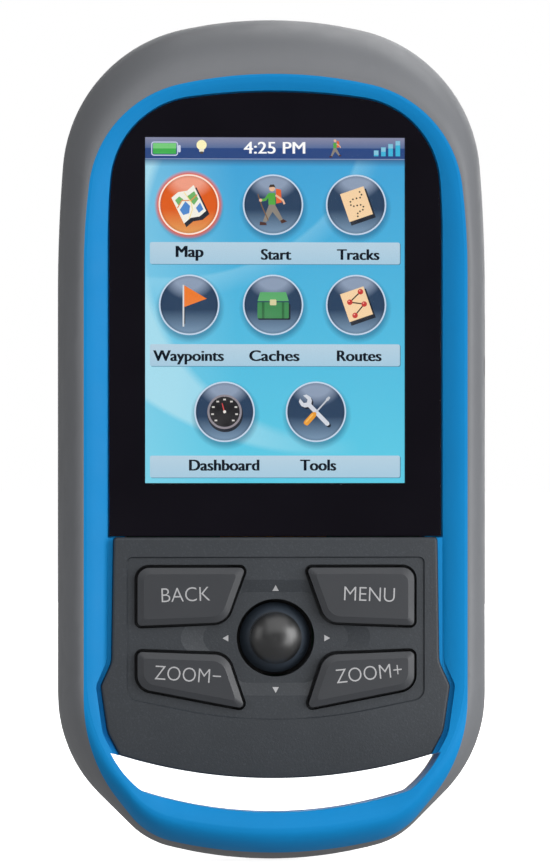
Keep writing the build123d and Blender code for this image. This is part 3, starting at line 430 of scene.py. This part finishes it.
TRACK += [(-0.35, -0.12), (0.02, -0.16), (0.4, -0.22), (0.62, -0.5), (0.45, -0.8), (0.1, -0.86), (-0.2, -1.0)]
TRACK += [(-0.3, -1.3)]
ROUTE = [(0.85, 1.15), (-0.62, 0.45), (0.8, -0.25), (-0.55, -1.1)]
# the walker
LEGS = [[(-0.3, -0.1), (0.25, -0.1), (0.95, -1.4), (0.72, -1.6), (0.02, -0.75), (-0.55, -1.7), (-0.85, -1.6)]]
BOOTS = [
    [(-1.1, -1.62), (-0.55, -1.72), (-0.5, -1.95), (-1.15, -1.95)],
    [(0.7, -1.55), (1.0, -1.4), (1.35, -1.6), (0.85, -1.8)],
]
SHIRT = [[(-0.35, 0.95), (0.25, 0.95), (0.3, -0.1), (-0.35, -0.1)]]
SLEEVE = [stroke([(-0.3, 0.8), (-0.62, 0.35), (-1.0, 0.3)], 0.24)]
PACK = [[(0.32, 1.35), (0.78, 1.25), (0.85, 0.1), (0.36, 0.0)]]
HEAD = [circle((-0.02, 1.36), 0.27, 24)]
HAND = [circle((-1.05, 0.3), 0.14, 16)]
ARM = [stroke([(0.3, 0.75), (0.95, 0.3), (1.1, -0.05)], 0.18)]
HAIR = [[(-0.32, 1.45), (-0.2, 1.7), (0.15, 1.72), (0.3, 1.42), (0.1, 1.5)]]
STAFF = [stroke([(-1.3, 0.85), (-0.95, -0.2), (-0.35, -1.55)], 0.09)]
# the tools
WRENCH = [(-0.2, 1.9), (-0.24, 1.34), (0.0, 1.18), (0.24, 1.34), (0.2, 1.9), (0.5, 1.74), (0.6, 1.3)]
WRENCH += [(0.46, 0.98), (0.2, 0.8), (0.2, -1.6), (0.1, -1.75), (-0.1, -1.75), (-0.2, -1.6), (-0.2, 0.8)]
WRENCH += [(-0.46, 0.98), (-0.6, 1.3), (-0.5, 1.74)]
BLADE = [(-0.07, 0.0), (0.07, 0.0), (0.07, 1.5), (0.14, 1.62), (0.1, 1.95), (-0.1, 1.95), (-0.14, 1.62)]
BLADE += [(-0.07, 1.5)]
HANDLE = [(-0.1, 0.0), (0.1, 0.0), (0.26, -0.25), (0.26, -1.35), (0.15, -1.5), (-0.15, -1.5), (-0.26, -1.35)]
HANDLE += [(-0.26, -0.25)]


def on_icon(icon, loops, shift=(0.0, 0.0), turn=0.0, scale=1.0):
    u, v = ICONS[icon]
    return placed(loops, (u + shift[0], v + shift[1]), turn, scale)


def map_picture():
    tilt, size = 26, 1.15
    laid = lambda loops: on_icon("map", loops, (0, 0), tilt, size)
    return [
        ("101A2A", 1, on_icon("map", [MAP_SHEET], (0.34, -0.38), tilt, size * 1.04)),
        ("F4F1E6", 2, laid([MAP_SHEET])),
        ("4A86CC", 3, laid(MAP_WATER)),
        ("6DB264", 3, laid(MAP_WOODS)),
        ("E2884A", 4, laid(MAP_ROADS[:1])),
        ("F6DE8C", 5, laid(MAP_ROADS[1:])),
    ]


def sheet_picture(icon, drawing):
    """A tilted sheet of paper with a drawing on it. drawing takes the function that lays points on it."""
    tilt, size = 19, 1.2
    laid = lambda loops: on_icon(icon, loops, (0.05, 0.1), tilt, size)
    shadow = on_icon(icon, [SHEET], (0.34, -0.28), tilt, size * 1.04)
    return [("101A2A", 1, shadow), ("F7D3A6", 2, laid([SHEET]))] + drawing(laid)


def dotted_track(laid):
    return [("1C1814", 3, [circle(point, 0.115, 12) for point in laid([TRACK])[0]])]


def joined_route(laid):
    stops = laid([ROUTE])[0]
    return [
        ("2A1E1A", 3, [stroke(stops[i : i + 2], 0.16) for i in range(3)]),
        ("C8332E", 4, [circle(stop, 0.36, 24) for stop in stops]),
        ("F2A59A", 5, [circle((u - 0.1, v + 0.12), 0.1, 12) for u, v in stops]),
    ]


def walker_picture(laid, low=2, strong=True):
    """A walker with a staff and a rucksack, from layer low up."""
    pieces = [
        ("8A8278", 0, LEGS),
        ("4A2A22", 1, BOOTS),
        ("4FA63C", 2, SHIRT),
        ("E2622C", 1, PACK),
        ("E8B898", 2, HEAD + ARM),
    ]
    if strong:
        pieces += [("4FA63C", 3, SLEEVE), ("E8B898", 4, HAND), ("3A3028", 3, HAIR), ("7A5A34", 3, STAFF)]
    return [(code, low + layer, laid(loops)) for code, layer, loops in pieces]


def dial_picture():
    u, v = ICONS["dashboard"]
    marks, rays = [], []
    for i in range(9):
        turn = 225 - 33.75 * i
        t = math.radians(turn)
        place = (u + 1.6 * math.cos(t), v + 1.6 * math.sin(t))
        marks += placed([rectangle((0, 0), 0.34, 0.2)], place)
        rays += placed([rectangle((0.42, 0), 0.16, 0.05)], place, turn)
    return [
        ("101A2A", 1, [circle((u + 0.08, v - 0.32), 2.34)]),
        ("8E8890", 2, [circle((u, v), 2.25), circle((u, v), 1.98)]),
        ("17151A", 2, [circle((u, v), 1.97)]),
        ("D8D4D0", 3, marks),
        ("A8A4A0", 3, rays),
        ("D84848", 4, [stroke([(u + 0.02, v - 0.2), (u - 0.32, v + 1.1)], 0.12)]),
        ("E8E4E0", 5, [circle((u, v), 0.2, 20)]),
    ]


def flag_picture():
    flag = [(-0.66, 2.55), (2.3, 0.8), (-0.66, -0.3)]
    return [
        ("101A2A", 1, on_icon("waypoints", [stroke([(-0.62, 1.8), (-0.62, -2.5)], 0.2)])),
        ("D8DCE0", 3, on_icon("waypoints", [stroke([(-0.75, 2.6), (-0.75, -2.85)], 0.2)])),
        ("EE7A28", 4, on_icon("waypoints", [flag])),
    ]


def chest_picture():
    bands = [rectangle((side * 1.3, -0.7), 0.34, 2.1) for side in (-1, 1)]
    return [
        ("101A2A", 1, on_icon("caches", [rectangle((0.15, -0.9), 4.25, 2.1, 0.2)])),
        ("3E8A52", 2, on_icon("caches", [rectangle((0, -0.7), 4.1, 2.1, 0.14)])),
        ("5AAA6A", 2, on_icon("caches", [[(-2.05, 0.5), (2.05, 0.5), (1.68, 1.66), (-1.68, 1.66)]])),
        ("2C6A3E", 3, on_icon("caches", bands)),
        ("D8D0A0", 4, on_icon("caches", [rectangle((0, 0.33), 0.85, 0.75, 0.12)])),
    ]


def tools_picture():
    size = 1.4
    driver = lambda loops: on_icon("tools", loops, (-0.05, -0.1), -42, size)
    return [
        ("101A2A", 1, on_icon("tools", [WRENCH], (0.16, -0.2), 44, size)),
        ("D4D8E0", 3, on_icon("tools", [WRENCH], (-0.05, 0.02), 44, size)),
        ("C4C8D0", 4, driver([BLADE])),
        ("E89A2A", 5, driver([HANDLE])),
        ("F6C468", 6, driver([rectangle((-0.08, -0.8), 0.1, 1.0)])),
    ]


def icon_pictures():
    """(colour, layer, outlines) of everything drawn on the icons."""
    pictures = map_picture() + sheet_picture("tracks", dotted_track) + sheet_picture("routes", joined_route)
    pictures += walker_picture(lambda loops: on_icon("start", loops, (-0.1, 0.15), 0, 1.45))
    return pictures + flag_picture() + chest_picture() + dial_picture() + tools_picture()


def status_pictures():
    """(colour, layer, outlines) of the battery, lamp, walker and signal bars along the top."""
    battery, lamp, middle, low = -14.42, -9.6, 21.06, 20.15
    bars = [(12.93 + 0.945 * i, top) for i, top in enumerate((20.91, 21.32, 21.75, 22.15))]
    rim = [rectangle((battery, middle), 3.5, 1.85, 0.35), rectangle((battery, middle), 3.24, 1.58, 0.24)]
    walker = walker_picture(lambda loops: placed(loops, (7.85, 21.25), 0, 0.66), 1, False)
    return walker + [
        ("C8D0E8", 1, rim),
        ("C8D0E8", 2, [rectangle((battery + 1.92, middle), 0.34, 0.95, 0.15)]),
        ("3DAE4C", 1, [rectangle((battery, middle - 0.33), 3.02, 0.7)]),
        ("76CC7A", 1, [rectangle((battery, middle + 0.37), 3.02, 0.7)]),
        ("FFF6C0", 1, [circle((lamp, 21.55), 0.66, 28)]),
        ("F0E8D0", 2, [rectangle((lamp, 20.85), 0.62, 0.4, 0.1)]),
        ("4A4038", 3, [rectangle((lamp, 20.55), 0.42, 0.3, 0.1)]),
        ("35B4DA", 1, [rectangle((u + 0.3, (low + top) / 2), 0.6, top - low) for u, top in bars]),
        ("84C4DC", 2, [rectangle((u + 0.3, top - 0.3), 0.6, 0.56) for u, top in bars]),
    ]


def display_picture():
    """The menu on the display, as thin sheets between the panel and the window's printed border."""
    back, step = -14.03, 0.024
    level = lambda i: back - step * i
    cut_out("display_wallpaper", [rectangle((0, 0), LIT_W, LIT_H)], level(0), lit("wallpaper", sky))
    strip = lit("status_strip", two_tone(STRIP_H, "8A8CA6", "566C98", "2C4880", 0.52))
    cut_out("display_status_strip", [rectangle((0, 21.1), LIT_W, STRIP_H)], level(1), strip)
    line = lit("status_line", plain("8A9CC0"))
    cut_out("display_status_line", [rectangle((0, 19.74), LIT_W, 0.1)], level(2), line)
    label = lit("label_strip", two_tone(LABEL_H, "B8D2E2", "AACCE0", "AACCE0", 0.1))
    edge = lit("label_edge", plain("47809E"))
    for i, v in enumerate(LABEL_ROWS):
        shadow = rectangle((0.1, v - 0.08), 32.7, LABEL_H, 0.25)
        strip = rectangle((0, v), 32.68, LABEL_H, 0.25)
        cut_out(f"display_label_shadow_{i}", [shadow], level(1), edge)
        cut_out(f"display_label_{i}", [strip], level(2), label)
    rim, warm_rim = lit("icon_rim", plain("C4D6EA")), lit("icon_rim_warm", plain("FFE8DC"))
    face = lit("icon_face", glossy_disc("2B425E", "88A6C2", "98A8C0"))
    warm_face = lit("icon_face_warm", glossy_disc("DF5E1E", "E6AC66", "F4A890"))
    for name, centre in ICONS.items():
        warm = name == "map"
        cut_out(f"display_rim_{name}", [circle(centre, ICON_R, 72)], level(1), warm_rim if warm else rim)
        disc = [circle(centre, ICON_R - 0.2, 72)]
        cut_out(f"display_disc_{name}", disc, level(2), warm_face if warm else face)
    made = {}
    pictures = [(code, layer + 2, loops) for code, layer, loops in icon_pictures()]
    pictures += [(code, layer + 1, loops) for code, layer, loops in status_pictures()]
    for number, (code, layer, loops) in enumerate(pictures):
        if code not in made:
            made[code] = lit(f"picture_{code}", plain(code))
        cut_out(f"display_picture_{number:02d}", loops, level(layer), made[code])
    ink, white = lit("label_ink", lambda n: srgb("06101E")), lit("clock_white", lambda n: srgb("FFFFFF"))
    lettering("display_clock", "4:25 PM", (0, 20.46), 8.05, 1.51, level(3), white, heavy=0.09)
    labels = [
        ("Map", -11.2, 6.93, 3.66, 1.45, 0.18),
        ("Start", 0.1, 6.6, 4.0, 1.38, 0.16),
        ("Tracks", 10.9, 6.6, 5.58, 1.38, 0.16),
        ("Waypoints", -11.26, -6.62, 9.25, 1.38, 0.16),
        ("Caches", -0.1, -6.62, 6.6, 1.38, 0.16),
        ("Routes", 10.97, -6.62, 5.87, 1.38, 0.16),
        ("Dashboard", -6.66, -20.92, 9.2, 1.42, 0.17),
        ("Tools", 5.66, -20.92, 4.74, 1.42, 0.17),
    ]
    for words, u, v, width, cap, heavy in labels:
        lettering(f"display_{words.lower()}", words, (u, v), width, cap, level(3), ink, heavy=heavy)


# ---------------------------------------------------------------- printing on the keys and the plate
def laid_on(piece, node):
    """Sets a flat piece down on a CAD node's front, following its slope."""
    mesh = NODES[node].data
    tree = BVHTree.FromPolygons([v.co for v in mesh.vertices], [p.vertices for p in mesh.polygons])
    origin = piece.location
    for vertex in piece.data.vertices:
        above = Vector((origin.x + vertex.co.x, LOW.y - SIZE.y, origin.z + vertex.co.z))
        place, _, _, _ = tree.ray_cast(above, Vector((0, 1, 0)))
        vertex.co.y += place.y - origin.y


PRINT_Y = -17.3  # in front of the keys, before the printing is laid on them
ROW_ORIGIN = Vector((0, 0, 0))
# words, middle of their baseline, width and turn in degrees
LEGENDS = {
    "back": ("BACK", (-11.8, 34.35), 6.3, 2.0),
    "menu": ("MENU", (12.1, 34.35), 6.6, -2.0),
    "zoom_out": ("ZOOM\u2212", (-11.5, 23.95), 8.6, -4.0),
    "zoom_in": ("ZOOM+", (12.2, 24.1), 8.6, 6.0),
}


def printing():
    light = paint("legend_ink", "B4B4B6")
    for key, (words, centre, width, turn) in LEGENDS.items():
        place = (f"key_{key}_cap", ROW_ORIGIN, turn)
        for piece in lettering(f"legend_{key}", words, centre, width, 1.78, PRINT_Y, light, *place):
            laid_on(piece, f"key_{key}")
    for name, centre, turn in (
        ("up", (0, 36.0), 0),
        ("down", (0, 22.8), 180),
        ("left", (-6.5, 29.5), 90),
        ("right", (6.7, 29.5), -90),
    ):
        arrow = placed([[(-0.42, -0.34), (0.42, -0.34), (0, 0.42)]], centre, turn)
        piece = cut_out(f"arrow_{name}", arrow, PRINT_Y, light, origin=ROW_ORIGIN)
        laid_on(piece, "keypad_faceplate")


# ---------------------------------------------------------------- finishes of the CAD nodes
GREY = srgb("75777B")
BLUE = srgb("0087CA")
CHARCOAL = srgb("34383D")
KEY_GREY = srgb("3A3C40")
STICK_Z = 29.55 * MM
DOME_R = 3.37 * MM


def joystick_finish():
    """A satin dome on a skirt painted lighter and bluer: a painted reflection, standing in for the shine on
    its glossy rim.
    """
    material, n = new_material("joystick")
    parts = n.add("ShaderNodeSeparateXYZ", {0: n.place()}).outputs
    out = distance(n, parts["X"], parts["Z"], (0, STICK_Z), (DOME_R, DOME_R))
    # Painted reflection: outside the dome's edge the dark colour turns to a lighter blue-grey (3A434E).
    painted_skirt_reflection = n.spread(out, 0, 1, 0.98, 1.03)
    dome = n.mix(n.spread(n.noise(2 * MM, 2), 0, 1), srgb("0E0F11"), srgb("141517"))
    n.surface(
        {
            "Base Color": n.mix(painted_skirt_reflection, dome, srgb("3A434E")),
            "Roughness": n.spread(n.noise(0.5 * MM, 2), 0.32, 0.36),
            "Normal": n.bump(n.noise(0.3 * MM, 2), 0.0004 * MM),
            "Specular IOR Level": 1.0,
        }
    )
    return material


FINISHES = {
    "case_grey": lambda: moulded("case_grey", GREY, 0.5, relief=0.01 * MM),
    "frame_blue": lambda: moulded("frame_blue", BLUE, 0.58, relief=0.006 * MM, mottle=0.02, shine=0.22),
    "faceplate": lambda: moulded("faceplate", CHARCOAL, 0.5, 0.3 * MM, 0.03 * MM, 0.05, 0.25),
    "keys": lambda: moulded("keys", KEY_GREY, 0.42, 0.3 * MM, 0.006 * MM),
    "joystick": joystick_finish,
    "window": clear_window,
    # The black mask's glow (141218) is painted light: an emission that stands in for the room light the clear
    # window keeps off it.
    "mask_black": lambda: moulded("mask_black", srgb("1E1C24"), 0.35, relief=0, glow=srgb("141218")),
    "gasket": lambda: moulded("gasket", srgb("1B1B1C"), 0.75),
    "display": lambda: moulded("display", srgb("10151C"), 0.3),
    "white_plastic": lambda: moulded("white_plastic", srgb("D8D8D4"), 0.5),
    "ribbon": lambda: moulded("ribbon", srgb("A8742A"), 0.35),
    "membrane": lambda: moulded("membrane", srgb("4A4A4C"), 0.7),
    "switch_metal": lambda: metal("switch_metal", srgb("C4C4C2"), 0.3),
    "board": lambda: moulded("board", srgb("1D5C38"), 0.35),
    "chip": lambda: moulded("chip", srgb("222224"), 0.55),
    "tin": lambda: metal("tin", srgb("C8C8C4"), 0.35),
    "ceramic": lambda: moulded("ceramic", srgb("CFC6A8"), 0.6),
    "black_plastic": lambda: moulded("black_plastic", srgb("262628"), 0.5),
    "cell": lambda: moulded("cell", srgb("B88A3C"), 0.3),
    "spring_steel": lambda: metal("spring_steel", srgb("BEBEBC"), 0.3),
    "brass": lambda: metal("brass", srgb("C8A050"), 0.3),
    "screw_steel": lambda: metal("screw_steel", srgb("6C6C6E"), 0.35),
    "rubber_grey": lambda: moulded("rubber_grey", srgb("4C4E50"), 0.7, relief=0.02 * MM),
    "power_rubber": lambda: moulded("power_rubber", srgb("35363A"), 0.65, relief=0.02 * MM),
    "pin_steel": lambda: metal("pin_steel", srgb("C8C8C8"), 0.25),
}


def finish_nodes():
    """Each CAD node takes the finish of its material slot."""
    made = {}
    for row in frame["record"]["subparts"]:
        slot = row["material_slot"]
        if slot not in made:
            made[slot] = FINISHES[slot]()
        node = NODES[row["node"]]
        node.data.materials.clear()
        node.data.materials.append(made[slot])


# ---------------------------------------------------------------- stage, light, camera
CAMERA_AIM = Vector((0, -14, 56.1)) * MM
CAMERA_TURN = math.radians(3.0)
CAMERA_AWAY = 623.4  # millimetres
WORLD_GLOW = 0.18  # for the rays that don't come from the camera
FLOOR_GLOW = 0.26


def photo_camera():
    """Level with the middle of the device, a little to its left, through a long lens."""
    data = bpy.data.cameras.new("camera")
    data.lens = 198
    camera = bpy.data.objects.new("camera", data)
    bpy.context.scene.collection.objects.link(camera)
    towards = Vector((-math.sin(CAMERA_TURN), -math.cos(CAMERA_TURN), 0))
    camera.location = CAMERA_AIM + towards * CAMERA_AWAY * MM
    camera.rotation_euler = (CAMERA_AIM - camera.location).to_track_quat("-Z", "Y").to_euler()
    bpy.context.scene.camera = camera


def soft_light(name, place, size, power):
    data = bpy.data.lights.new(name, "AREA")
    data.shape = "RECTANGLE"
    data.size, data.size_y = size
    data.energy = power
    light = bpy.data.objects.new(name, data)
    light.visible_camera = False
    light.location = place
    target = Vector((0, 0, SIZE.z / 2))
    light.rotation_euler = (target - light.location).to_track_quat("-Z", "Y").to_euler()
    bpy.context.scene.collection.objects.link(light)


def pale_world():
    """White to the camera, and a dimmer grey for what it lights."""
    world = bpy.data.worlds.new("studio")
    bpy.context.scene.world = world
    world.use_nodes = True
    n = Nodes(world.node_tree)
    seen = n.add("ShaderNodeLightPath").outputs["Is Camera Ray"]
    strength = n.spread(seen, WORLD_GLOW, 1.0, 0, 1)
    shader = n.add("ShaderNodeBackground", {"Color": (1, 1, 1, 1), "Strength": strength})
    n.add("ShaderNodeOutputWorld", {"Surface": shader.outputs[0]})


def pale_floor():
    mesh = bpy.data.meshes.new("floor")
    shape = bmesh.new()
    bmesh.ops.create_circle(shape, cap_ends=True, segments=96, radius=4.0)
    shape.to_mesh(mesh)
    shape.free()
    floor = bpy.data.objects.new("floor", mesh)
    floor.location.z = LOW.z - 0.02 * MM
    bpy.context.scene.collection.objects.link(floor)
    material, n = new_material("floor_white")
    seen = n.add("ShaderNodeLightPath").outputs["Is Camera Ray"]
    paper = n.mix(n.spread(n.noise(0.4), 0, 1), srgb("F4F4F4"), srgb("FAFAFA"))
    n.surface(
        {
            "Base Color": n.mix(seen, srgb("5A5A5A"), paper),
            "Roughness": 0.9,
            "Emission Color": (1, 1, 1, 1),
            "Emission Strength": n.spread(seen, FLOOR_GLOW, 0.85, 0, 1),
        }
    )
    mesh.materials.append(material)


def studio():
    bpy.context.scene.view_settings.view_transform = "Standard"
    pale_world()
    pale_floor()
    soft_light("key_right", (0.52, -0.36, 0.06), (0.45, 0.6), 4.0)
    soft_light("fill_left", (-0.75, -0.45, 0.25), (0.4, 0.6), 0.95)
    soft_light("behind", (0.15, 0.9, 0.2), (0.6, 0.6), 2.5)
    soft_light("top_back", (0.3, 0.45, 0.7), (0.7, 0.4), 2.4)
    soft_light("front_top", (0.1, -0.6, 0.62), (1.2, 1.0), 4.4)
    soft_light("low_card", (0.06, -0.075, 0.002), (0.06, 0.06), 0.03)


finish_nodes()
display_picture()
printing()
studio()
photo_camera()
